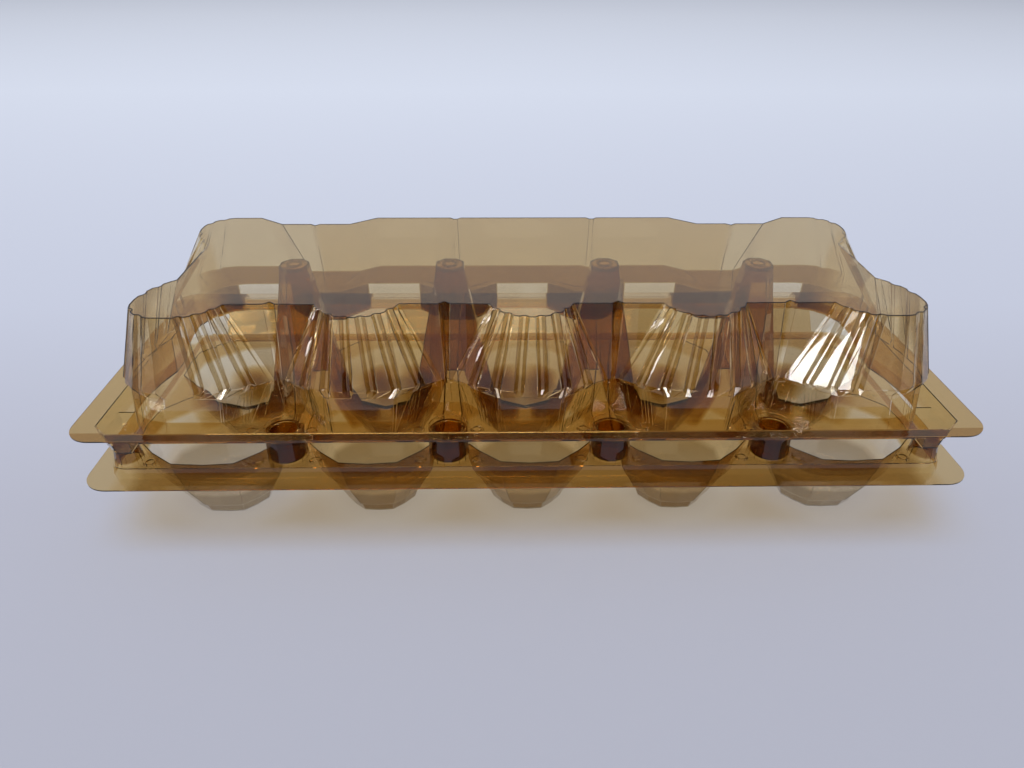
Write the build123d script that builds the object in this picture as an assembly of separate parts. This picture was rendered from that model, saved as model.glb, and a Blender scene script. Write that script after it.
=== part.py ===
from build123d import *
from collections import namedtuple
import math
import os

# Egg carton for ten eggs, drawn from one clear plastic sheet and folded shut along its back.
# X runs along the carton, Y from the front to the hinge, Z up from the surface it stands on.

# Sheet and cells
film = 0.35
columns = 5
cell_pitch = 46.0
row_pitch = 37.5
overrun = 1.0

# Flanges of both halves
flange_end_margin = 9.7
flange_front_margin = 8.9
flange_corner_radius = 7.6
step_draft = 0.6
flatness = 0.0005
round_sides = 16

# Base tray: levels and flange
base_band_z = 22.2
base_rail_z = 25.3
base_band_width = 5.6
base_side_band_width = 6.8
base_rail_corner_radius = 4.6

# Base tray: cups with eight bowed sides, from the foot up; the end cups reach further out
cup_corners = 8
cup_bow_share = 0.955
cup_foot_radius = 11.0
cup_step_z = 3.0
cup_step_rise = 0.9
cup_step_radius = 13.0
cup_step_ledge = 0.8
cup_belly_z = 13.0
cup_belly_radius = 17.8
cup_rim_radius = 21.4
end_foot_stretch = 3.4
end_belly_stretch = 4.0
end_rim_stretch = 2.8

# Base tray: pillars between four cups
pillar_sides = 8
pillar_top_z = 69.2
pillar_shoulder_drop = 3.6
pillar_top_radius = 4.4
pillar_shoulder_radius = 4.9
pillar_foot_half_length = 14.0
pillar_foot_half_depth = 15.0
pillar_cell_radius = 25.0
pillar_ring_radius = 2.3
pillar_ring_width = 0.7
pillar_ring_depth = 0.25

# Snap sockets of the base and plugs of the lid
snap_inset = 11.6
socket_radius = 5.8
socket_draft = 0.3
socket_wall_gap = 0.4
socket_well_floor_z = 26.2
snap_clearance = 0.35
plug_radius = 4.2
plug_tip_radius = 3.0
plug_depth = 7.4
plug_collar_radius = 5.6
plug_collar_depth = 1.1
plug_round = 1.3

# Round dimples beside each snap
dimple_radius = 2.1
dimple_height = 0.5
dimple_offset = 8.2
dimple_inset = 9.1
dimple_sides = 12
corner_dimple_side_inset = 17.6
corner_dimple_front_inset = 8.4

# Corner pads of the base, which stand in the corner pockets of the lid
pad_side_inset = 11.3
pad_front_inset = 10.1
pad_radius = 4.0
pad_draft = 0.8
pocket_depth = 3.6
pocket_length = 9.6
pocket_width = 15.6
pocket_draft = 0.5
pocket_clearance = 0.35

# Lid: levels and flange
lid_band_z = 38.6
lid_rail_z = 35.5
lid_top_z = 70.4
lid_band_width = 3.1
lid_side_band_width = 6.0
lid_rail_chamfer = 4.4

# Lid: flutes of the pleated wall
front_flutes = 7
corner_flutes = 3
end_flutes = 3

# Lid: smooth panels below the pleats
panel_half_width = 8.8

# Lid: the wall's plan at four levels. Reaches are taken from the centres of the outer cells,
# depths from the foremost line of the wall, and shares from the width of one flute.
Level = namedtuple("Level", [
    "front_z", "back_z", "smooth", "flute_depth", "ridge_share", "flank_share",
    "lobe_reach", "valley_depth", "valley_half_width", "groove_half_width", "groove_depth",
    "end_reach", "end_valley_depth", "end_valley_half_width", "corner_radius",
    "back_reach", "back_valley_depth", "back_valley_outer", "back_valley_inner", "back_ramp",
    "notch_half_width", "notch_root", "notch_depth"])

top_level = Level(
    front_z=lid_top_z, back_z=lid_top_z, smooth=False, flute_depth=0.7, ridge_share=0.40, flank_share=0.22,
    lobe_reach=18.75, valley_depth=8.1, valley_half_width=11.8, groove_half_width=1.5, groove_depth=1.3,
    end_reach=13.2, end_valley_depth=6.8, end_valley_half_width=13.4, corner_radius=9.5,
    back_reach=19.65, back_valley_depth=6.2, back_valley_outer=11.0, back_valley_inner=11.2,
    back_ramp=8.4, notch_half_width=1.7, notch_root=0.6, notch_depth=1.2)

foot_level = Level(
    front_z=48.0, back_z=52.5, smooth=False, flute_depth=1.1, ridge_share=0.56, flank_share=0.16,
    lobe_reach=19.35, valley_depth=7.1, valley_half_width=1.4, groove_half_width=0.6, groove_depth=0.5,
    end_reach=22.0, end_valley_depth=3.6, end_valley_half_width=2.4, corner_radius=15.5,
    back_reach=20.45, back_valley_depth=4.6, back_valley_outer=4.2, back_valley_inner=12.6,
    back_ramp=6.6, notch_half_width=2.0, notch_root=0.8, notch_depth=1.2)

panel_level = Level(
    front_z=46.4, back_z=46.6, smooth=True, flute_depth=0.0, ridge_share=0.56, flank_share=0.16,
    lobe_reach=19.55, valley_depth=7.9, valley_half_width=2.6, groove_half_width=0.8, groove_depth=0.4,
    end_reach=20.6, end_valley_depth=3.4, end_valley_half_width=3.0, corner_radius=16.0,
    back_reach=21.65, back_valley_depth=6.4, back_valley_outer=4.6, back_valley_inner=5.4,
    back_ramp=8.2, notch_half_width=13.2, notch_root=4.6, notch_depth=6.2)

rail_level = Level(
    front_z=lid_rail_z - film, back_z=lid_rail_z - film, smooth=True, flute_depth=0.0, ridge_share=0.56,
    flank_share=0.16,
    lobe_reach=20.05, valley_depth=10.8, valley_half_width=5.4, groove_half_width=1.0, groove_depth=0.3,
    end_reach=21.2, end_valley_depth=3.6, end_valley_half_width=4.0, corner_radius=15.0,
    back_reach=21.85, back_valley_depth=8.2, back_valley_outer=5.4, back_valley_inner=5.4,
    back_ramp=8.2, notch_half_width=13.6, notch_root=5.4, notch_depth=8.0)

ramp_shoulder_share = 0.4

# Hinge: two sloping strips that meet along the back
hinge_depth = 7.6
hinge_end_inset = 13.0
hinge_bead_radius = 0.45
hinge_clearance = 0.03

# Places worked out from the sizes above
row_centre = row_pitch / 2
flange_length = columns * cell_pitch + 2 * flange_end_margin
flange_reach = 2 * row_centre + flange_front_margin
snap_y = flange_reach - snap_inset
dimple_y = flange_reach - dimple_inset
hinge_reach = flange_reach + hinge_depth
hinge_length = flange_length - 2 * hinge_end_inset
hinge_z = (base_band_z + lid_band_z) / 2
pillar_shoulder_z = pillar_top_z - pillar_shoulder_drop
cell_columns = [cell_pitch * (column - (columns - 1) / 2) for column in range(columns)]
cell_rows = [-row_centre, row_centre]
gap_columns = [(left + right) / 2 for left, right in zip(cell_columns, cell_columns[1:])]
frame_shift = (flange_reach - hinge_reach - hinge_bead_radius) / 2


def sides(outline):
    """Each point of a closed outline with the next one."""
    return zip(outline, outline[1:] + outline[:1])


def is_flat(a, b, c, d):
    """Whether four points lie in one plane."""
    first, second, third = (Vector(*point) - Vector(*a) for point in (b, c, d))
    normal = first.cross(second)
    return normal.length == 0 or abs(normal.normalized().dot(third)) < flatness


def faceted_solid(sections):
    """A solid with flat facets through closed anticlockwise outlines of equally many points."""
    facets = [sections[0][::-1], sections[-1]]
    for lower, upper in zip(sections, sections[1:]):
        for (a, b), (d, c) in zip(sides(lower), sides(upper)):
            if is_flat(a, b, c, d):
                facets.append([a, b, c, d])
            else:
                facets += [[a, b, c], [a, c, d]]
    return Solid(Shell([Face(Wire.make_polygon(points, close=True)) for points in facets]))


def ring_points(radius, z, count, aspect=1):
    """Points round a circle or an oval."""
    points = []
    for step in range(count):
        angle = 2 * math.pi * (step + 1 / 2) / count
        points.append((radius * math.cos(angle), aspect * radius * math.sin(angle), z))
    return points


def inset(points, distance):
    """A closed anticlockwise outline moved inwards, corner by corner."""
    moved = []
    for before, here, after in zip(points[-1:] + points[:-1], points, points[1:] + points[:1]):
        first = Vector(here[0] - before[0], here[1] - before[1]).normalized()
        second = Vector(after[0] - here[0], after[1] - here[1]).normalized()
        share = distance / (1 + first.dot(second))
        x = here[0] - share * (first.Y + second.Y)
        y = here[1] + share * (first.X + second.X)
        moved.append((x, y, here[2]))
    return moved


def at_height(points, z):
    """The same outline laid flat at one height."""
    return [(x, y, z) for x, y, _ in points]


def rounded_plate(half_length, half_width, corner_radius, bottom, top, draft=0):
    """A plate with rounded corners whose outline grows by the draft towards its bottom."""
    lower = RectangleRounded(2 * (half_length + draft), 2 * (half_width + draft), corner_radius + draft)
    upper = RectangleRounded(2 * half_length, 2 * half_width, corner_radius)
    return loft([Pos(0, 0, bottom) * lower.face(), Pos(0, 0, top) * upper.face()], ruled=True)


def turned(profile, count=round_sides):
    """A round body from its radius and height at each level, drawn with flat facets."""
    return faceted_solid([ring_points(radius, z, count) for radius, z in profile])


def tapered(radius, tip_radius, bottom, top, count=round_sides):
    """A round body that narrows or widens from its bottom to its top."""
    return turned([(radius, bottom), (tip_radius, top)], count)


def dimple(rail_z):
    """A small round dimple that stands up from a rail, and the hollow under it."""
    under = rail_z - film
    bore = dimple_radius - film
    tip = dimple_radius - dimple_height
    raised = tapered(dimple_radius, tip, under, rail_z + dimple_height, dimple_sides)
    sunk = tapered(bore, tip - film, under - overrun, under + dimple_height, dimple_sides)
    return raised, sunk


def dimple_places():
    """Places of the dimples, one on each side of every snap."""
    return [(x + side * dimple_offset, -dimple_y) for x in gap_columns for side in (-1, 1)]


def corner_places(side_inset, front_inset):
    """Places at the two front corners, measured in from the flange's edges."""
    x = flange_length / 2 - side_inset
    y = flange_reach - front_inset
    return [(-x, -y), (x, -y)]


# Base tray

def cup_ring(radius, z, stretch, bow_share=cup_bow_share):
    """The corners and the middles of the sides of a cup at one level, stretched to one side in X."""
    points = []
    for step in range(2 * cup_corners):
        angle = math.pi * step / cup_corners
        reach = radius if step % 2 else radius * bow_share
        outward = max(0, math.cos(angle) * math.copysign(1, stretch))
        points.append((reach * math.cos(angle) + stretch * outward, reach * math.sin(angle), z))
    return points


def cup_sections(grow, bottom, outward):
    """Outlines of one cup from its foot to the rail, wider by the film on its outside."""
    levels = [
        (cup_foot_radius, bottom, end_foot_stretch),
        (cup_step_radius - cup_step_ledge, cup_step_z, end_foot_stretch),
        (cup_step_radius, cup_step_z + cup_step_rise, end_foot_stretch),
        (cup_belly_radius, cup_belly_z, end_belly_stretch),
        (cup_rim_radius, base_rail_z, end_rim_stretch),
    ]
    return [cup_ring(radius + grow, z, outward * stretch) for radius, z, stretch in levels]


def cup_body(outward):
    """One cup filled solid, film included."""
    return faceted_solid(cup_sections(film, 0, outward))


def cell_space(grow, bottom, outward):
    """The room of one egg: the cup and, above the rail, the hollow it presses into the pillars."""
    above = cup_ring(pillar_cell_radius + grow, pillar_shoulder_z, outward * end_rim_stretch, 1)
    return faceted_solid(cup_sections(grow, bottom, outward) + [above])


def at_cells(make):
    """Copies at every cell of what a function makes; the end columns reach outwards."""
    copies = []
    for outward, group in [(-1, cell_columns[:1]), (0, cell_columns[1:-1]), (1, cell_columns[-1:])]:
        solid = make(outward)
        copies += [Pos(x, y, 0) * solid for x in group for y in cell_rows]
    return copies


def pillar_block(grow, bottom):
    """The tapering block that the egg cells are pressed into, shorter by the film on its inside."""
    aspect = (pillar_foot_half_depth + grow) / (pillar_foot_half_length + grow)
    foot = ring_points(pillar_foot_half_length + grow, base_rail_z, pillar_sides, aspect=aspect)
    return faceted_solid([
        at_height(foot, bottom),
        foot,
        ring_points(pillar_shoulder_radius + grow, pillar_shoulder_z, pillar_sides),
        ring_points(pillar_top_radius + grow, pillar_top_z + grow, pillar_sides),
    ])


def pillar():
    """One hollow pillar with the raised ring on its cap, centred on X and Y."""
    neighbours = [(x, y) for x in (-cell_pitch / 2, cell_pitch / 2) for y in cell_rows]
    outside = pillar_block(0, base_rail_z - film)
    inside = pillar_block(-film, base_rail_z - film - overrun)
    ring_top = pillar_top_z + pillar_ring_depth
    ring_bore = pillar_ring_radius - pillar_ring_width
    ring = tapered(pillar_ring_radius, pillar_ring_radius, pillar_top_z, ring_top)
    ring -= tapered(ring_bore, ring_bore, pillar_top_z, ring_top)
    hollow = inside - [Pos(x, y, 0) * cell_space(film, 0, 0) for x, y in neighbours]
    return outside + ring, hollow


def socket():
    """One snap socket: a round post with a well for the lid's plug, and the hollow under it."""
    top = lid_rail_z - plug_collar_depth - film - snap_clearance
    outside = tapered(socket_radius, socket_radius - socket_draft, base_rail_z - film, top)
    well_radius = socket_radius - 2 * film - socket_wall_gap
    well = tapered(well_radius - socket_draft, well_radius, socket_well_floor_z, top)
    lining = tapered(well_radius - socket_draft + film, well_radius + film, socket_well_floor_z - film, top)
    bore = socket_radius - film
    hollow = tapered(bore, bore - socket_draft, base_rail_z - film - overrun, top - film)
    return outside, well, hollow - lining


def hinge_strip(band_z, towards):
    """The sloping strip from one flange's back edge to the hinge line."""
    near = band_z if towards > 0 else band_z - film
    far = near - towards * film
    outline = Polyline([
        (0, flange_reach - overrun, near), (0, flange_reach, near), (0, hinge_reach, hinge_z),
        (0, hinge_reach, hinge_z - towards * hinge_bead_radius), (0, flange_reach, far),
        (0, flange_reach - overrun, far),
    ], close=True)
    return Pos(-hinge_length / 2, 0, 0) * extrude(make_face(outline), hinge_length, dir=(1, 0, 0))


def hinge_rod(radius, length):
    """A round rod along the hinge line."""
    return Pos(0, hinge_reach, hinge_z) * Rot(0, 90, 0) * Cylinder(radius, length)


def base_flange():
    """The base's flange: an outer band and, a step higher, the rail that carries the cups."""
    half_length = flange_length / 2
    band = rounded_plate(half_length, flange_reach, flange_corner_radius, base_band_z - film, base_band_z)
    rail_length = half_length - base_side_band_width
    rail_reach = flange_reach - base_band_width
    bottom = base_band_z - film
    rail = rounded_plate(rail_length, rail_reach, base_rail_corner_radius, bottom, base_rail_z, step_draft)
    under = rounded_plate(rail_length - film, rail_reach - film, base_rail_corner_radius - film,
                          bottom, base_rail_z - film, step_draft)
    return band + rail - under


def corner_pad():
    """One hollow corner pad that reaches up to the lid's corner pocket."""
    top = lid_rail_z - pocket_depth - film - pocket_clearance
    bore = pad_radius - film
    outside = tapered(pad_radius, pad_radius - pad_draft, base_rail_z - film, top)
    inside = tapered(bore, bore - pad_draft, base_rail_z - film - overrun, top - film)
    return outside, inside


def make_base_tray():
    tray = base_flange()
    outside = at_cells(cup_body)
    hollows = at_cells(lambda outward: cell_space(0, film, outward))
    pillar_outside, pillar_hollow = pillar()
    socket_outside, socket_well, socket_hollow = socket()
    for x in gap_columns:
        outside.append(Pos(x, 0, 0) * pillar_outside)
        outside.append(Pos(x, -snap_y, 0) * socket_outside)
        hollows.append(Pos(x, 0, 0) * pillar_hollow)
        hollows += [Pos(x, -snap_y, 0) * socket_well, Pos(x, -snap_y, 0) * socket_hollow]
    pad_outside, pad_inside = corner_pad()
    for x, y in corner_places(pad_side_inset, pad_front_inset):
        outside.append(Pos(x, y, 0) * pad_outside)
        hollows.append(Pos(x, y, 0) * pad_inside)
    raised, sunk = dimple(base_rail_z)
    corner_dimples = corner_places(corner_dimple_side_inset, corner_dimple_front_inset)
    for x, y in dimple_places() + corner_dimples:
        outside.append(Pos(x, y, 0) * raised)
        hollows.append(Pos(x, y, 0) * sunk)
    outside.append(hinge_strip(base_band_z, 1) + hinge_rod(hinge_bead_radius, hinge_length))
    return (tray + outside) - hollows


# Lid

def flute_marks(count, level):
    """Shares from -1 to 1 along a fluted stretch, each with True where the flute is drawn in."""
    width = 2 / count
    ridge = width * level.ridge_share / 2
    root = ridge + width * level.flank_share
    marks = []
    for flute in range(count):
        middle = -1 + width * (flute + 1 / 2)
        if flute > 0:
            marks.append((middle - root, True))
        marks += [(middle - ridge, False), (middle + ridge, False)]
        if flute < count - 1:
            marks.append((middle + root, True))
    return marks


def lobe_points(level, half_width):
    """Points of one lobe as offsets along the wall and inwards from its foremost line."""
    points = []
    radius = (half_width ** 2 + level.valley_depth ** 2) / (2 * level.valley_depth)
    spread = math.asin(half_width / radius)
    for share, drawn_in in [(-1, False)] + flute_marks(front_flutes, level) + [(1, False)]:
        if level.smooth:
            along = half_width * share
            past_panel = (abs(along) - panel_half_width) / (half_width - panel_half_width)
            inward = max(0, past_panel) * level.valley_depth
        else:
            reach = radius - level.flute_depth * drawn_in
            along = reach * math.sin(spread * share)
            inward = radius - reach * math.cos(spread * share)
        points.append((along, inward))
    return points


def front_side(level):
    """The right half of the front wall, from the middle cell's lobe to the corner lobe."""
    lobe = lobe_points(level, cell_pitch / 2 - level.valley_half_width)
    foremost = row_centre + level.lobe_reach
    valley = foremost - level.valley_depth
    points = []
    for centre in cell_columns:
        if centre < 0:
            continue
        for along, inward in lobe:
            left_of_middle = centre == 0 and along < 0
            past_corner = centre == cell_columns[-1] and along > 0
            if not left_of_middle and not past_corner:
                points.append((centre + along, inward - foremost))
        if centre < cell_columns[-1]:
            gap = centre + cell_pitch / 2
            points.append((gap - level.groove_half_width, -valley))
            points.append((gap, level.groove_depth - valley))
            points.append((gap + level.groove_half_width, -valley))
    return points


def corner_points(level, reach):
    """The fluted round corner between the front or back wall and the right end."""
    points = []
    for share, drawn_in in flute_marks(corner_flutes, level):
        angle = math.pi / 4 * (1 + share)
        radius = level.corner_radius - level.flute_depth * drawn_in
        points.append((cell_columns[-1] + level.end_reach - level.corner_radius + radius * math.sin(angle),
                       row_centre + reach - level.corner_radius + radius * math.cos(angle)))
    return points


def end_side(level, reach):
    """Half of the right end wall, from a corner to the shallow valley in its middle."""
    start = row_centre + reach - level.corner_radius
    half_width = start - level.end_valley_half_width
    radius = (half_width ** 2 + level.end_valley_depth ** 2) / (2 * level.end_valley_depth)
    spread = math.asin(half_width / radius)
    points = []
    for share, drawn_in in flute_marks(end_flutes, level) + [(1, False)]:
        angle = spread * (1 + share) / 2
        turn = radius - level.flute_depth * drawn_in
        points.append((cell_columns[-1] + level.end_reach - radius + turn * math.cos(angle),
                       start - turn * math.sin(angle)))
    return points


def back_side(level):
    """The right half of the back wall, from the corner lobe to the middle."""
    gap = gap_columns[-1]
    notch = gap_columns[-2]
    ramp = level.back_ramp
    reach = row_centre + level.back_reach
    valley = reach - level.back_valley_depth
    shoulder = ramp * ramp_shoulder_share
    shoulder_reach = reach - level.back_valley_depth * ramp_shoulder_share
    return [
        (gap + level.back_valley_outer + ramp, reach),
        (gap + level.back_valley_outer + ramp - shoulder, shoulder_reach),
        (gap + level.back_valley_outer, valley),
        (gap + level.groove_half_width, valley),
        (gap, valley - level.groove_depth),
        (gap - level.groove_half_width, valley),
        (gap - level.back_valley_inner, valley),
        (gap - level.back_valley_inner - ramp + shoulder, shoulder_reach),
        (gap - level.back_valley_inner - ramp, reach),
        (notch + level.notch_half_width, reach),
        (notch + level.notch_root, reach - level.notch_depth),
        (notch - level.notch_root, reach - level.notch_depth),
        (notch - level.notch_half_width, reach),
    ]


def lid_outline(level):
    """The closed outline of the lid's wall at one level, anticlockwise from the front."""
    front = front_side(level)
    front += [(x, -y) for x, y in corner_points(level, level.lobe_reach)]
    front += [(x, -y) for x, y in end_side(level, level.lobe_reach)]
    back = end_side(level, level.back_reach)[::-1]
    back += corner_points(level, level.back_reach)[::-1]
    back += back_side(level)
    right = [(x, y, level.front_z) for x, y in front] + [(x, y, level.back_z) for x, y in back]
    left = [(-x, y, z) for x, y, z in reversed(right)]
    return right + left


def lid_wall():
    """The lid's pleated wall and top as an outer form, an inner form and their feet below the rail."""
    outlines = [lid_outline(level) for level in (rail_level, panel_level, foot_level, top_level)]
    outer = faceted_solid(outlines)
    inner_outlines = [inset(outline, film) for outline in outlines]
    inner_outlines[-1] = at_height(inner_outlines[-1], lid_top_z - film)
    below = lid_rail_z - pocket_depth - 2 * film - overrun
    inner = faceted_solid([at_height(inner_outlines[0], below)] + inner_outlines)
    foot = faceted_solid([at_height(outlines[0], below), outlines[0]])
    return outer, inner, foot


def chamfered_outline(half_length, half_width, chamfer, z):
    """A rectangle with its corners cut off, anticlockwise."""
    right = [(half_length - chamfer, -half_width, z), (half_length, chamfer - half_width, z),
             (half_length, half_width - chamfer, z), (half_length - chamfer, half_width, z)]
    return right + [(-x, y, z) for x, y, z in reversed(right)]


def lid_flange():
    """The lid's flange: an outer band and, a step lower, the rail that the wall rises from."""
    half_length = flange_length / 2
    band = rounded_plate(half_length, flange_reach, flange_corner_radius, lid_band_z - film, lid_band_z)
    rim = chamfered_outline(half_length - lid_side_band_width, flange_reach - lid_band_width,
                            lid_rail_chamfer, lid_band_z)
    floor = inset(rim, step_draft)
    dish = faceted_solid([at_height(floor, lid_rail_z - film), rim])
    inner_rim = inset(rim, film)
    basin = faceted_solid([at_height(inset(floor, film), lid_rail_z), inner_rim])
    above = faceted_solid([inner_rim, at_height(inner_rim, lid_band_z + overrun)])
    return band + dish - basin - above


def pocket(outer, inner, foot):
    """The right front corner pocket: a deeper well in the rail, closed towards the lid's wall."""
    length_edge = flange_length / 2 - lid_side_band_width - step_draft
    width_edge = flange_reach - lid_band_width - step_draft

    def outline(shrink, z):
        right = length_edge - shrink
        front = shrink - width_edge
        left = length_edge - pocket_length + shrink
        back = pocket_width - width_edge - shrink
        chamfer = lid_rail_chamfer
        return [(left, front, z), (right - chamfer, front, z), (right, front + chamfer, z),
                (right, back, z), (left, back, z)]

    floor_z = lid_rail_z - pocket_depth
    outside = faceted_solid([outline(pocket_draft, floor_z - film), outline(0, lid_rail_z)])
    inside = faceted_solid([outline(pocket_draft + film, floor_z), outline(film, lid_rail_z)])
    return outside - inner, inside - foot - outer


def plug():
    """One snap plug that hangs from the rail, with the stepped collar above it."""
    collar_z = lid_rail_z - plug_collar_depth
    tip_z = lid_rail_z - plug_depth
    outside = turned([
        (plug_tip_radius - plug_round, tip_z), (plug_tip_radius, tip_z + plug_round),
        (plug_radius, collar_z - film), (plug_collar_radius, collar_z - film),
        (plug_collar_radius, lid_rail_z)])
    inside = turned([
        (plug_tip_radius - plug_round, tip_z + film),
        (plug_tip_radius - film, tip_z + plug_round + film / 2),
        (plug_radius - film, collar_z), (plug_collar_radius - film, collar_z),
        (plug_collar_radius - film, lid_rail_z)])
    return outside, inside


def make_lid():
    outer, inner, foot = lid_wall()
    outside = [outer]
    hollows = [inner]
    plug_outside, plug_inside = plug()
    for x in gap_columns:
        outside.append(Pos(x, -snap_y, 0) * plug_outside)
        hollows.append(Pos(x, -snap_y, 0) * plug_inside)
    pocket_outside, pocket_inside = pocket(outer, inner, foot)
    outside += [pocket_outside, mirror(pocket_outside, Plane.YZ)]
    hollows += [pocket_inside, mirror(pocket_inside, Plane.YZ)]
    raised, sunk = dimple(lid_rail_z)
    for x, y in dimple_places():
        outside.append(Pos(x, y, 0) * raised)
        hollows.append(Pos(x, y, 0) * sunk)
    outside.append(hinge_strip(lid_band_z, -1))
    hollows.append(hinge_rod(hinge_bead_radius + hinge_clearance, hinge_length + overrun))
    return (lid_flange() + outside) - hollows


def write(name, shape):
    """Move a finished piece into the carton's frame and write it."""
    placed = Pos(0, frame_shift, 0) * shape
    print(name, "solids", len(placed.solids()), "volume", round(placed.volume, 1))
    export_step(placed, os.path.join("parts", name + ".step"))


os.makedirs("parts", exist_ok=True)
write("base_tray", make_base_tray())
write("lid", make_lid())
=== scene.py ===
import math
import bpy
from mathutils import Matrix, Vector

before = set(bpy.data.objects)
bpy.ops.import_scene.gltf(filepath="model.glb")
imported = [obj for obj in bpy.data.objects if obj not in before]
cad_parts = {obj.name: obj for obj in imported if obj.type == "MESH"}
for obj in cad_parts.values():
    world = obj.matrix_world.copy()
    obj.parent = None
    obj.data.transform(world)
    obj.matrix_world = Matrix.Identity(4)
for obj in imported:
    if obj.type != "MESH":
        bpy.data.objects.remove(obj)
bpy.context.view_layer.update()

MM = 0.001
PHOTO_WIDTH_PX = 1024
SENSOR_MM = 36.0

# Camera, fitted to the photograph's straight edges
FOCAL_PX = 755.64
CAMERA_MM = Vector((-8.88, -214.375, 155.70))
YAW = math.radians(1.23)
PITCH = math.radians(31.35)
ROLL = math.radians(0.34)
NEAREST = 0.01

# What one layer of undrawn film lets through, and what a painted shade of 1 lets through of that
FLANGE_TINT = (0.71, 0.48, 0.175)
SHADE_TINT = (0.50, 0.47, 0.46)
SHADOW_SHARE = 0.3
FILM_IOR = 1.5
FILM_ROUGHNESS = 0.02

# The film differs by zone. A zone's limits are in millimetres from the carton's centre: two
# numbers are where it fades in, and three are its two ends and half the width of its fade.
# ACROSS is the distance from the middle of a cell. A SHARE is how thick the film is in a zone,
# in undrawn layers, and MORE is what a zone adds to that. SHADE_GREY is painted shade, how far
# a zone is darkened towards grey, and SHADE_FILM is amber film added to a zone as painted shade.
CELL_PITCH = 46.0
END_CELL_X = 69.0
BACK_FLANGE_SHARE = 0.42

# Zones of the tray
CUP_Z = (21.5, 20.0)
CUP_SHARE = 0.5
END_CUP_X = (END_CELL_X, 70.0)
END_CUP_SHARE = 0.35
# The cups' feet are darker and greyer near the table: painted shade
FOOT_Z = (11.0, 9.0)
FOOT_SHADE_FILM = 0.15
FOOT_SHADE_GREY = 0.55
# Dark patches on the back cups' lower walls: painted shade
LOWER_WALL_ACROSS = (3.0, 13.0, 3.0)
LOWER_WALL_Y = (23.0, 28.0)
LOWER_WALL_Z = (2.0, 13.0, 2.0)
LOWER_WALL_SHADE_FILM = 1.5
LOWER_WALL_SHADE_GREY = 0.5
# A dark band around the pillars, between the rows of cups: painted shade
WEB_X = (-104.0, 104.0, 4.0)
WEB_ACROSS = (1.5, 4.0)
WEB_Y = (-9.0, 1.0, 0.5)
WEB_Z = (15.0, 32.0, 2.0)
WEB_SHADE_FILM = 1.4
WEB_SHADE_GREY = 0.4
# The tray's front rim: thicker film at its fold, and painted shade along it
RIM_X = (-110.0, 110.0, 2.0)
RIM_Y = (-36.0, -37.5)
RIM_Z = (18.0, 26.0, 0.3)
RIM_MORE = 0.3
RIM_SHADE_GREY = 0.4
# The snaps' sockets are darker and greyer: painted shade in their hollows
SNAP_Y = (-35.0, -36.0)
SNAP_Z = (26.0, 26.6)
SNAP_SHADE_FILM = 0.8
SNAP_SHADE_GREY = 0.6
FLANGE_Z = (19.0, 20.0)
TRAY_BACK_Y = (33.5, 35.5)
TRAY_END_X = (114.0, 117.0)
TRAY_END_SHARE = 0.75
PILLAR_Y = -4.025
PILLAR_Z = (26.2, 28.0)
PILLAR_SHARE = 0.95
# The pillars' upper part is a little greyer, painted shade that stops short of the caps
PILLAR_UPPER_Z = (45.0, 58.0)
PILLAR_SHADE_GREY = 0.1
CAP_CLEAR_Z = (68.4, 68.8)
CAP_RADIUS = (4.0, 3.8)
CAP_Z = (68.3, 68.6)
CAP_SHARE = 0.4
# A dark edge and ring on each pillar's cap: painted shade
EDGE_RADIUS = (3.8, 4.0)
EDGE_Z = (68.0, 68.3)
RING_RADIUS = (1.6, 2.3, 0.1)
RING_SHADE_GREY = 1.4

# Zones of the lid
WALL_Z = (38.9, 39.4)
WALL_SHARE = 0.50
END_WALL_X = (END_CELL_X, 106.0, 1.0)
END_WALL_Z = (39.2, 69.8, 0.2)
END_WALL_SHARE = 0.5
LID_BACK_FLANGE_Y = (37.4, 38.0)
LID_BACK_Y = (25.0, 27.0)
# A dark band low on the lid's back, and dark patches beside its panels: painted shade
LEDGE_X = (112.0, 104.0)
LEDGE_Z = (45.3, 52.4, 0.3)
LEDGE_SHADE_FILM = 1.1
LEDGE_SHADE_GREY = 0.6
BESIDE_PANEL_ACROSS = (8.9, 9.5)
BESIDE_PANEL_Z = (36.0, 45.3, 0.3)
BESIDE_PANEL_SHADE_GREY = 0.7
PANEL_ACROSS = (9.5, 8.9)
PANEL_Z = (34.0, 45.3, 0.3)
PANEL_SHARE = 0.12
# A dark strip along the lid's front step: painted shade
STEP_Y = (-46.2, -46.4)
STEP_Z = (35.3, 38.4, 0.1)
STEP_SHADE_FILM = 1.2
STEP_SHADE_GREY = 0.5
# The lid's top is a little darker: painted shade
TOP_Z = (69.9, 70.0)
TOP_SHADE_GREY = 0.1

# The lid's front flutes. The smooth lobe under them narrows from the flutes' foot to the top.
FLUTES_Y = (-20.0, -24.0)
FLUTES_Z = (47.5, 70.0, 0.2)
LOBE_Z = (48.0, 70.4)
LOBE_RADII = (36.4, 11.8)
# The flutes' flanks are darker and greyer: painted shade along their folds
FLANK_TURN = (0.12, 0.3)
FLANK_SHADE_FILM = 0.3
FLANK_SHADE_GREY = 0.4
CREST_TURN = (0.12, 0.1)

# How far the gloss of some flutes leans up, and from where to where along a cell
LEAN = 0.4
LEAN_FROM = -17.2
RIGHT_LEAN = 0.85
RIGHT_LEAN_FROM = -20.5
LEAN_TO = -5.0
LEAN_FADE = 0.5

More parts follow.
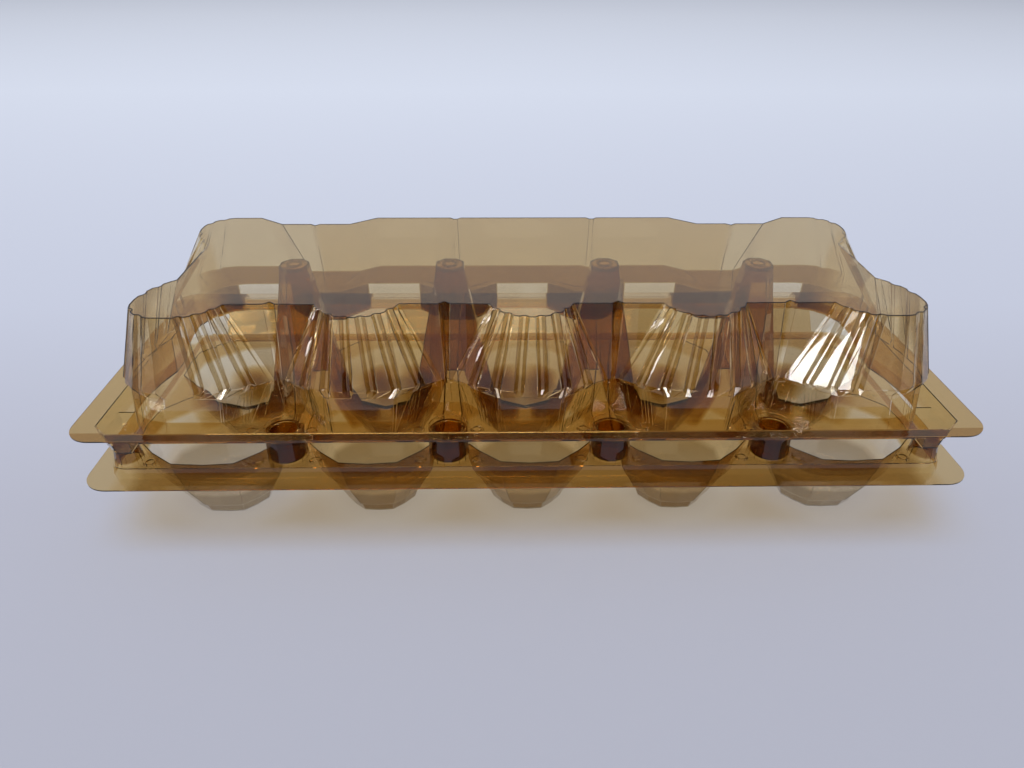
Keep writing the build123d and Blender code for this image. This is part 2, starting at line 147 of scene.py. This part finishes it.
# The table's colours at its near end, at its far end, and at shares of the way between them:
# darker near and lighter far, painted shade and painted light for how the lamps fall on it
TABLE_HALF = 3.0
TABLE_Y = (-150.0, 1450.0)
TABLE_NEAR_SHADED = (0.43, 0.45, 0.53, 1.0)
TABLE_FAR_LIT = (0.78, 0.84, 0.94, 1.0)
TABLE_LIGHT_BETWEEN = (
    (0.075, (0.46, 0.48, 0.57, 1.0)),
    (0.165, (0.56, 0.60, 0.71, 1.0)),
    (0.5, (0.73, 0.79, 0.9, 1.0)),
)

# The room's light, by the direction it comes from: dim in front and bright at the back
ROOM_COLOUR = (0.95, 0.93, 1.0, 1.0)
ROOM_Y = (-0.6, 0.4)
ROOM_LIGHT = (0.2, 0.52)
BACKDROP_LIGHT = 0.62

BOUNCES = 64
GLOSSY_BOUNCES = 8


def make_camera():
    flat = math.cos(PITCH)
    forward = Vector((math.sin(YAW) * flat, math.cos(YAW) * flat, -math.sin(PITCH)))
    right = Vector((math.cos(YAW), -math.sin(YAW), 0.0))
    up = right.cross(forward)
    turned_right = right * math.cos(ROLL) + up * math.sin(ROLL)
    turned_up = up * math.cos(ROLL) - right * math.sin(ROLL)
    camera = bpy.data.objects.new("camera", bpy.data.cameras.new("camera"))
    camera.data.sensor_width = SENSOR_MM
    camera.data.lens = FOCAL_PX * SENSOR_MM / PHOTO_WIDTH_PX
    camera.data.clip_start = NEAREST
    matrix = Matrix((turned_right, turned_up, -forward)).transposed().to_4x4()
    matrix.translation = CAMERA_MM * MM
    camera.matrix_world = matrix
    bpy.context.scene.collection.objects.link(camera)
    bpy.context.scene.camera = camera


def new_material(name):
    material = bpy.data.materials.new(name)
    material.use_nodes = True
    material.node_tree.nodes.clear()
    return material, material.node_tree


def put(tree, socket, value):
    if isinstance(value, bpy.types.NodeSocket):
        tree.links.new(value, socket)
    else:
        socket.default_value = value


def worked_out(tree, kind, operation, values):
    node = tree.nodes.new(kind)
    node.operation = operation
    for socket, value in zip(node.inputs, values):
        put(tree, socket, value)
    return node.outputs[0]


def calc(tree, operation, *values):
    return worked_out(tree, "ShaderNodeMath", operation, values)


def vector_calc(tree, operation, *values):
    return worked_out(tree, "ShaderNodeVectorMath", operation, values)


def length(tree, one, other):
    """The length of a line with these two parts, square to each other."""
    square = calc(tree, "MULTIPLY_ADD", one, one, calc(tree, "MULTIPLY", other, other))
    return calc(tree, "SQRT", square)


def ramp(tree, value, start, end, low=0.0, high=1.0):
    """A value that runs from low to high while the input runs from start to end."""
    node = tree.nodes.new("ShaderNodeMapRange")
    put(tree, node.inputs["Value"], value)
    put(tree, node.inputs["From Min"], start)
    put(tree, node.inputs["From Max"], end)
    put(tree, node.inputs["To Min"], low)
    put(tree, node.inputs["To Max"], high)
    return node.outputs[0]


def between(tree, value, low, high, soft):
    """1 between two limits, 0 outside them."""
    above = ramp(tree, calc(tree, "SUBTRACT", value, low), -soft, soft)
    return calc(tree, "MULTIPLY", above, ramp(tree, value, high + soft, high - soft))


def product(tree, first, *others):
    for other in others:
        first = calc(tree, "MULTIPLY", first, other)
    return first


def within(tree, *measures):
    """1 where each measure is inside its limits, which are two numbers or three, as above."""
    inside = [
        ramp(tree, value, *limits) if len(limits) == 2 else between(tree, value, *limits)
        for value, limits in measures
    ]
    return product(tree, *inside)


def pick(tree, zone, outside, inside):
    """One value where a zone is 0 and another where it is 1."""
    return ramp(tree, zone, 0.0, 1.0, outside, inside)


def add_up(tree, total, *zones):
    """A value with each zone's own amount added to it."""
    for zone, amount in zones:
        total = calc(tree, "MULTIPLY_ADD", zone, amount, total)
    return total


def rest_place(tree):
    """X, Y and Z on the unposed piece, in millimetres."""
    coords = tree.nodes.new("ShaderNodeTexCoord").outputs["Object"]
    split = tree.nodes.new("ShaderNodeSeparateXYZ")
    put(tree, split.inputs[0], vector_calc(tree, "MULTIPLY", coords, (1 / MM, 1 / MM, 1 / MM)))
    return split.outputs[0], split.outputs[1], split.outputs[2]


def from_cell_middle(tree, x):
    return calc(tree, "WRAP", x, CELL_PITCH / 2, -CELL_PITCH / 2)


def tray_film(tree, x, y, z):
    """How thick the tray's film is at a place, and how much shade is painted on it. Its gloss
    doesn't lean.
    """
    across = calc(tree, "ABSOLUTE", from_cell_middle(tree, x))
    outer = calc(tree, "ABSOLUTE", x)
    foot = within(tree, (z, FOOT_Z))
    cup = pick(tree, within(tree, (z, CUP_Z)), 1.0, CUP_SHARE)
    # painted shade: amber film added at the cups' feet
    cup = add_up(tree, cup, (foot, FOOT_SHADE_FILM))
    end_cup = within(tree, (outer, END_CUP_X), (z, CUP_Z))
    cup = product(tree, cup, pick(tree, end_cup, 1.0, END_CUP_SHARE))
    # painted shade: dark patches on the back cups' lower walls
    lower_wall = within(tree, (across, LOWER_WALL_ACROSS), (y, LOWER_WALL_Y), (z, LOWER_WALL_Z))
    # painted shade: a dark band between the rows of cups
    web = within(tree, (x, WEB_X), (across, WEB_ACROSS), (y, WEB_Y), (z, WEB_Z))
    # the rim's fold: thicker film, and painted shade
    rim = within(tree, (x, RIM_X), (y, RIM_Y), (z, RIM_Z))
    # painted shade: the snaps' hollows
    snap = within(tree, (y, SNAP_Y), (z, SNAP_Z))
    back = within(tree, (y, TRAY_BACK_Y), (z, FLANGE_Z))
    end = within(tree, (outer, TRAY_END_X), (z, FLANGE_Z))

    # the cap of a pillar, its edge and the ring on it, by the distance from the pillar's axis;
    # the edge and the ring get painted shade
    sideways = calc(tree, "SUBTRACT", calc(tree, "WRAP", x, CELL_PITCH, 0.0), CELL_PITCH / 2)
    from_axis = length(tree, sideways, calc(tree, "SUBTRACT", y, PILLAR_Y))
    cap = within(tree, (from_axis, CAP_RADIUS), (z, CAP_Z))
    edge = within(tree, (from_axis, EDGE_RADIUS), (z, EDGE_Z))
    ring = product(tree, cap, within(tree, (from_axis, RING_RADIUS)))

    # amber film added to the lower walls, the web and the snaps is painted shade; the rim's is
    # thicker film
    thick = add_up(
        tree,
        cup,
        (rim, RIM_MORE),
        (within(tree, (z, PILLAR_Z)), PILLAR_SHARE - 1),
        (back, BACK_FLANGE_SHARE - 1),
        (cap, CAP_SHARE - PILLAR_SHARE),
        (lower_wall, LOWER_WALL_SHADE_FILM),
        (web, WEB_SHADE_FILM),
        (end, TRAY_END_SHARE - 1),
        (snap, SNAP_SHADE_FILM),
    )
    # painted shade: zones darkened towards grey
    painted_shade = add_up(
        tree,
        0.0,
        (foot, FOOT_SHADE_GREY),
        (within(tree, (z, PILLAR_UPPER_Z)), PILLAR_SHADE_GREY),
        (within(tree, (z, CAP_CLEAR_Z)), -PILLAR_SHADE_GREY),
        (ring, RING_SHADE_GREY),
        (edge, RING_SHADE_GREY),
        (lower_wall, LOWER_WALL_SHADE_GREY),
        (snap, SNAP_SHADE_GREY),
        (rim, RIM_SHADE_GREY),
        (web, WEB_SHADE_GREY),
    )
    return thick, painted_shade, None


def rest_slant(tree):
    """A facet's slant to the side on the unposed piece, as a sine, and 1 if it faces the front."""
    turned = tree.nodes.new("ShaderNodeVectorTransform")
    turned.vector_type = "NORMAL"
    turned.convert_from = "WORLD"
    turned.convert_to = "OBJECT"
    put(tree, turned.inputs[0], tree.nodes.new("ShaderNodeNewGeometry").outputs["True Normal"])
    parts = tree.nodes.new("ShaderNodeSeparateXYZ")
    put(tree, parts.inputs[0], turned.outputs[0])
    side, backward = parts.outputs[0], parts.outputs[1]
    slant = calc(tree, "DIVIDE", side, length(tree, side, backward))
    return slant, calc(tree, "LESS_THAN", backward, 0.0)


def lid_film(tree, x, y, z):
    """How thick the lid's film is at a place, how much shade is painted on it, and how far its
    gloss leans up.
    """
    along = from_cell_middle(tree, x)
    across = calc(tree, "ABSOLUTE", along)
    outer = calc(tree, "ABSOLUTE", x)
    # painted shade: a dark band low on the lid's back, and dark patches beside its panels
    beside = within(tree, (across, BESIDE_PANEL_ACROSS), (z, BESIDE_PANEL_Z))
    ledge_or_beside = calc(tree, "MAXIMUM", within(tree, (z, LEDGE_Z)), beside)
    back_shade = product(tree, within(tree, (y, LID_BACK_Y), (outer, LEDGE_X)), ledge_or_beside)
    panel = within(tree, (y, LID_BACK_Y), (across, PANEL_ACROSS), (z, PANEL_Z))
    end_wall = within(tree, (outer, END_WALL_X), (z, END_WALL_Z))
    # painted shade: a dark strip along the lid's front step
    step = within(tree, (y, STEP_Y), (z, STEP_Z))
    flutes = within(tree, (y, FLUTES_Y), (z, FLUTES_Z))

    # a flute's flanks turn away from the smooth lobe under it, and its crest doesn't; the flanks
    # get painted shade
    slant, outward = rest_slant(tree)
    slant = product(tree, slant, pick(tree, outward, -1.0, 1.0))
    smooth = calc(tree, "DIVIDE", along, ramp(tree, z, *LOBE_Z, *LOBE_RADII))
    turn = calc(tree, "ABSOLUTE", calc(tree, "SUBTRACT", slant, smooth))
    turned = within(tree, (turn, FLANK_TURN))
    flank = product(tree, flutes, turned)

    drawn = product(
        tree,
        pick(tree, within(tree, (z, WALL_Z)), 1.0, WALL_SHARE),
        pick(tree, within(tree, (y, LID_BACK_FLANGE_Y)), 1.0, BACK_FLANGE_SHARE),
        pick(tree, end_wall, 1.0, END_WALL_SHARE),
    )
    # amber film added to the back band, the step and the flanks is painted shade
    thick = add_up(
        tree,
        drawn,
        (panel, PANEL_SHARE - WALL_SHARE),
        (back_shade, LEDGE_SHADE_FILM),
        (step, STEP_SHADE_FILM),
        (flank, FLANK_SHADE_FILM),
    )
    # painted shade: zones darkened towards grey
    painted_shade = add_up(
        tree,
        0.0,
        (product(tree, back_shade, beside), BESIDE_PANEL_SHADE_GREY),
        (back_shade, LEDGE_SHADE_GREY),
        (flank, FLANK_SHADE_GREY),
        (step, STEP_SHADE_GREY),
        (within(tree, (z, TOP_Z)), TOP_SHADE_GREY),
    )

    # crests lean on the right lobe, flanks on the middle three, and nothing on the left one
    right = calc(tree, "GREATER_THAN", x, END_CELL_X)
    lean_from = pick(tree, right, LEAN_FROM, RIGHT_LEAN_FROM)
    lean = product(
        tree,
        pick(tree, right, LEAN, RIGHT_LEAN),
        pick(tree, right, turned, within(tree, (turn, CREST_TURN))),
        between(tree, along, lean_from, LEAN_TO, LEAN_FADE),
        flutes,
        outward,
        calc(tree, "GREATER_THAN", x, -END_CELL_X),
    )
    return thick, painted_shade, lean


def film_tint(tree, thick, painted_shade, share=1.0):
    """What one face of the film lets through: the square root of its layer's tint, with its painted
    shade.
    """
    tint = tree.nodes.new("ShaderNodeCombineColor")
    for socket, amber, shaded in zip(tint.inputs, FLANGE_TINT, SHADE_TINT):
        through_film = calc(tree, "POWER", amber ** (share / 2), thick)
        through_painted_shade = calc(tree, "POWER", shaded ** (share / 2), painted_shade)
        put(tree, socket, calc(tree, "MULTIPLY", through_film, through_painted_shade))
    return tint.outputs[0]


def leaning_normal(tree, lean):
    """The surface's direction, leaning towards the top of the unposed piece."""
    up = tree.nodes.new("ShaderNodeVectorTransform")
    up.vector_type = "VECTOR"
    up.convert_from = "OBJECT"
    up.convert_to = "WORLD"
    up.inputs[0].default_value = (0.0, 0.0, 1.0)
    scaled = tree.nodes.new("ShaderNodeVectorMath")
    scaled.operation = "SCALE"
    put(tree, scaled.inputs[0], up.outputs[0])
    put(tree, scaled.inputs["Scale"], lean)
    normal = tree.nodes.new("ShaderNodeNewGeometry").outputs["Normal"]
    return vector_calc(tree, "NORMALIZE", vector_calc(tree, "ADD", normal, scaled.outputs[0]))


def mix_shaders(tree, share, first, second):
    mix = tree.nodes.new("ShaderNodeMixShader")
    put(tree, mix.inputs[0], share)
    put(tree, mix.inputs[1], first.outputs[0])
    put(tree, mix.inputs[2], second.outputs[0])
    return mix


def finish_material(tree, shader):
    output = tree.nodes.new("ShaderNodeOutputMaterial")
    put(tree, output.inputs["Surface"], shader.outputs[0])


def film_material(name, film_at):
    """Film that bends light at each of its faces, tinted by place and by painted shade, with gloss
    by its angle.
    """
    material, tree = new_material(name)
    thick, painted_shade, lean = film_at(tree, *rest_place(tree))
    bent = tree.nodes.new("ShaderNodeBsdfRefraction")
    bent.inputs["IOR"].default_value = FILM_IOR
    bent.inputs["Roughness"].default_value = 0.0
    put(tree, bent.inputs["Color"], film_tint(tree, thick, painted_shade))
    gloss = tree.nodes.new("ShaderNodeBsdfGlossy")
    gloss.inputs["Color"].default_value = (1.0, 1.0, 1.0, 1.0)
    gloss.inputs["Roughness"].default_value = FILM_ROUGHNESS
    if lean is not None:
        put(tree, gloss.inputs["Normal"], leaning_normal(tree, lean))
    fresnel = tree.nodes.new("ShaderNodeFresnel")
    fresnel.inputs["IOR"].default_value = FILM_IOR
    film = mix_shaders(tree, fresnel.outputs[0], bent, gloss)
    # the lamps' light and the table's pass straight through, and are tinted less
    clear = tree.nodes.new("ShaderNodeBsdfTransparent")
    put(tree, clear.inputs["Color"], film_tint(tree, thick, painted_shade, SHADOW_SHARE))
    ray = tree.nodes.new("ShaderNodeLightPath").outputs
    straight = calc(tree, "MAXIMUM", ray["Is Shadow Ray"], ray["Is Diffuse Ray"])
    finish_material(tree, mix_shaders(tree, straight, film, clear))
    return material


def table_material():
    material, tree = new_material("table")
    # painted light and shade: the table is darker near the carton and lighter far off
    painted_light = tree.nodes.new("ShaderNodeValToRGB")
    put(tree, painted_light.inputs[0], ramp(tree, rest_place(tree)[1], *TABLE_Y))
    stops = painted_light.color_ramp.elements
    stops[0].color = TABLE_NEAR_SHADED
    stops[1].color = TABLE_FAR_LIT
    for place, colour in TABLE_LIGHT_BETWEEN:
        stops.new(place).color = colour
    shader = tree.nodes.new("ShaderNodeBsdfDiffuse")
    put(tree, shader.inputs["Color"], painted_light.outputs[0])
    finish_material(tree, shader)
    return material


def make_table():
    corners = [(x * TABLE_HALF, y * TABLE_HALF, 0) for x, y in ((-1, -1), (1, -1), (1, 1), (-1, 1))]
    mesh = bpy.data.meshes.new("table")
    mesh.from_pydata(corners, [], [(0, 1, 2, 3)])
    mesh.materials.append(table_material())
    table = bpy.data.objects.new("table", mesh)
    bpy.context.scene.collection.objects.link(table)


def make_room():
    """Soft light from all around, and a paler backdrop where it is seen, also through film."""
    world = bpy.data.worlds.new("studio")
    world.use_nodes = True
    tree = world.node_tree
    split = tree.nodes.new("ShaderNodeSeparateXYZ")
    put(tree, split.inputs[0], tree.nodes.new("ShaderNodeTexCoord").outputs["Generated"])
    background = tree.nodes["Background"]
    background.inputs["Color"].default_value = ROOM_COLOUR
    ray = tree.nodes.new("ShaderNodeLightPath").outputs
    seen = calc(tree, "MAXIMUM", ray["Is Camera Ray"], ray["Is Transmission Ray"])
    backdrop = calc(tree, "MULTIPLY", seen, BACKDROP_LIGHT)
    light = ramp(tree, split.outputs["Y"], *ROOM_Y, *ROOM_LIGHT)
    put(tree, background.inputs["Strength"], calc(tree, "MAXIMUM", light, backdrop))
    bpy.context.scene.world = world


def area_light(name, position, target, size, energy, along):
    """A rectangle of light that faces its target, with its length along a given direction."""
    data = bpy.data.lights.new(name, "AREA")
    data.shape = "RECTANGLE"
    data.size, data.size_y = size
    data.energy = energy
    light = bpy.data.objects.new(name, data)
    away = (Vector(position) - Vector(target)).normalized()
    across = away.cross(Vector(along)).normalized()
    matrix = Matrix((across.cross(away), across, away)).transposed().to_4x4()
    matrix.translation = position
    light.matrix_world = matrix
    bpy.context.scene.collection.objects.link(light)
    return light


def make_lamps():
    """A soft lamp above, and two long windows that only gleam on the lid."""
    area_light(
        "key",
        position=(-0.3, -0.7, 2.9),
        target=(0, 0.2, 0.0),
        size=(1.8, 1.8),
        energy=70.0,
        along=(1.0, 0.0, 0.0),
    )
    left_window = area_light(
        "left_window",
        position=(-0.85, -0.55, 0.34),
        target=(0, 0, 0.05),
        size=(1.1, 0.16),
        energy=9.0,
        along=(0.55, -0.85, 0.0),
    )
    front_window = area_light(
        "front_window",
        position=(0.05, -0.43, 0.9),
        target=(0.08, -0.04, 0.055),
        size=(0.78, 0.24),
        energy=9.0,
        along=(0.755, -0.656, 0.0),
    )
    falls_on = bpy.data.collections.new("windows_fall_on")
    falls_on.objects.link(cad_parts["lid"])
    for window in (left_window, front_window):
        window.visible_diffuse = False
        window.visible_camera = False
        window.visible_transmission = False
        window.light_linking.receiver_collection = falls_on


make_camera()
make_table()
make_room()
make_lamps()
for name, film_name, film_at in (
    ("base_tray", "base_film", tray_film),
    ("lid", "lid_film", lid_film),
):
    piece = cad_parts[name].data
    piece.materials.clear()
    piece.materials.append(film_material(film_name, film_at))

scene = bpy.context.scene
scene.view_settings.view_transform = "Standard"
scene.cycles.transparent_max_bounces = BOUNCES
scene.cycles.max_bounces = BOUNCES
scene.cycles.transmission_bounces = BOUNCES
scene.cycles.glossy_bounces = GLOSSY_BOUNCES
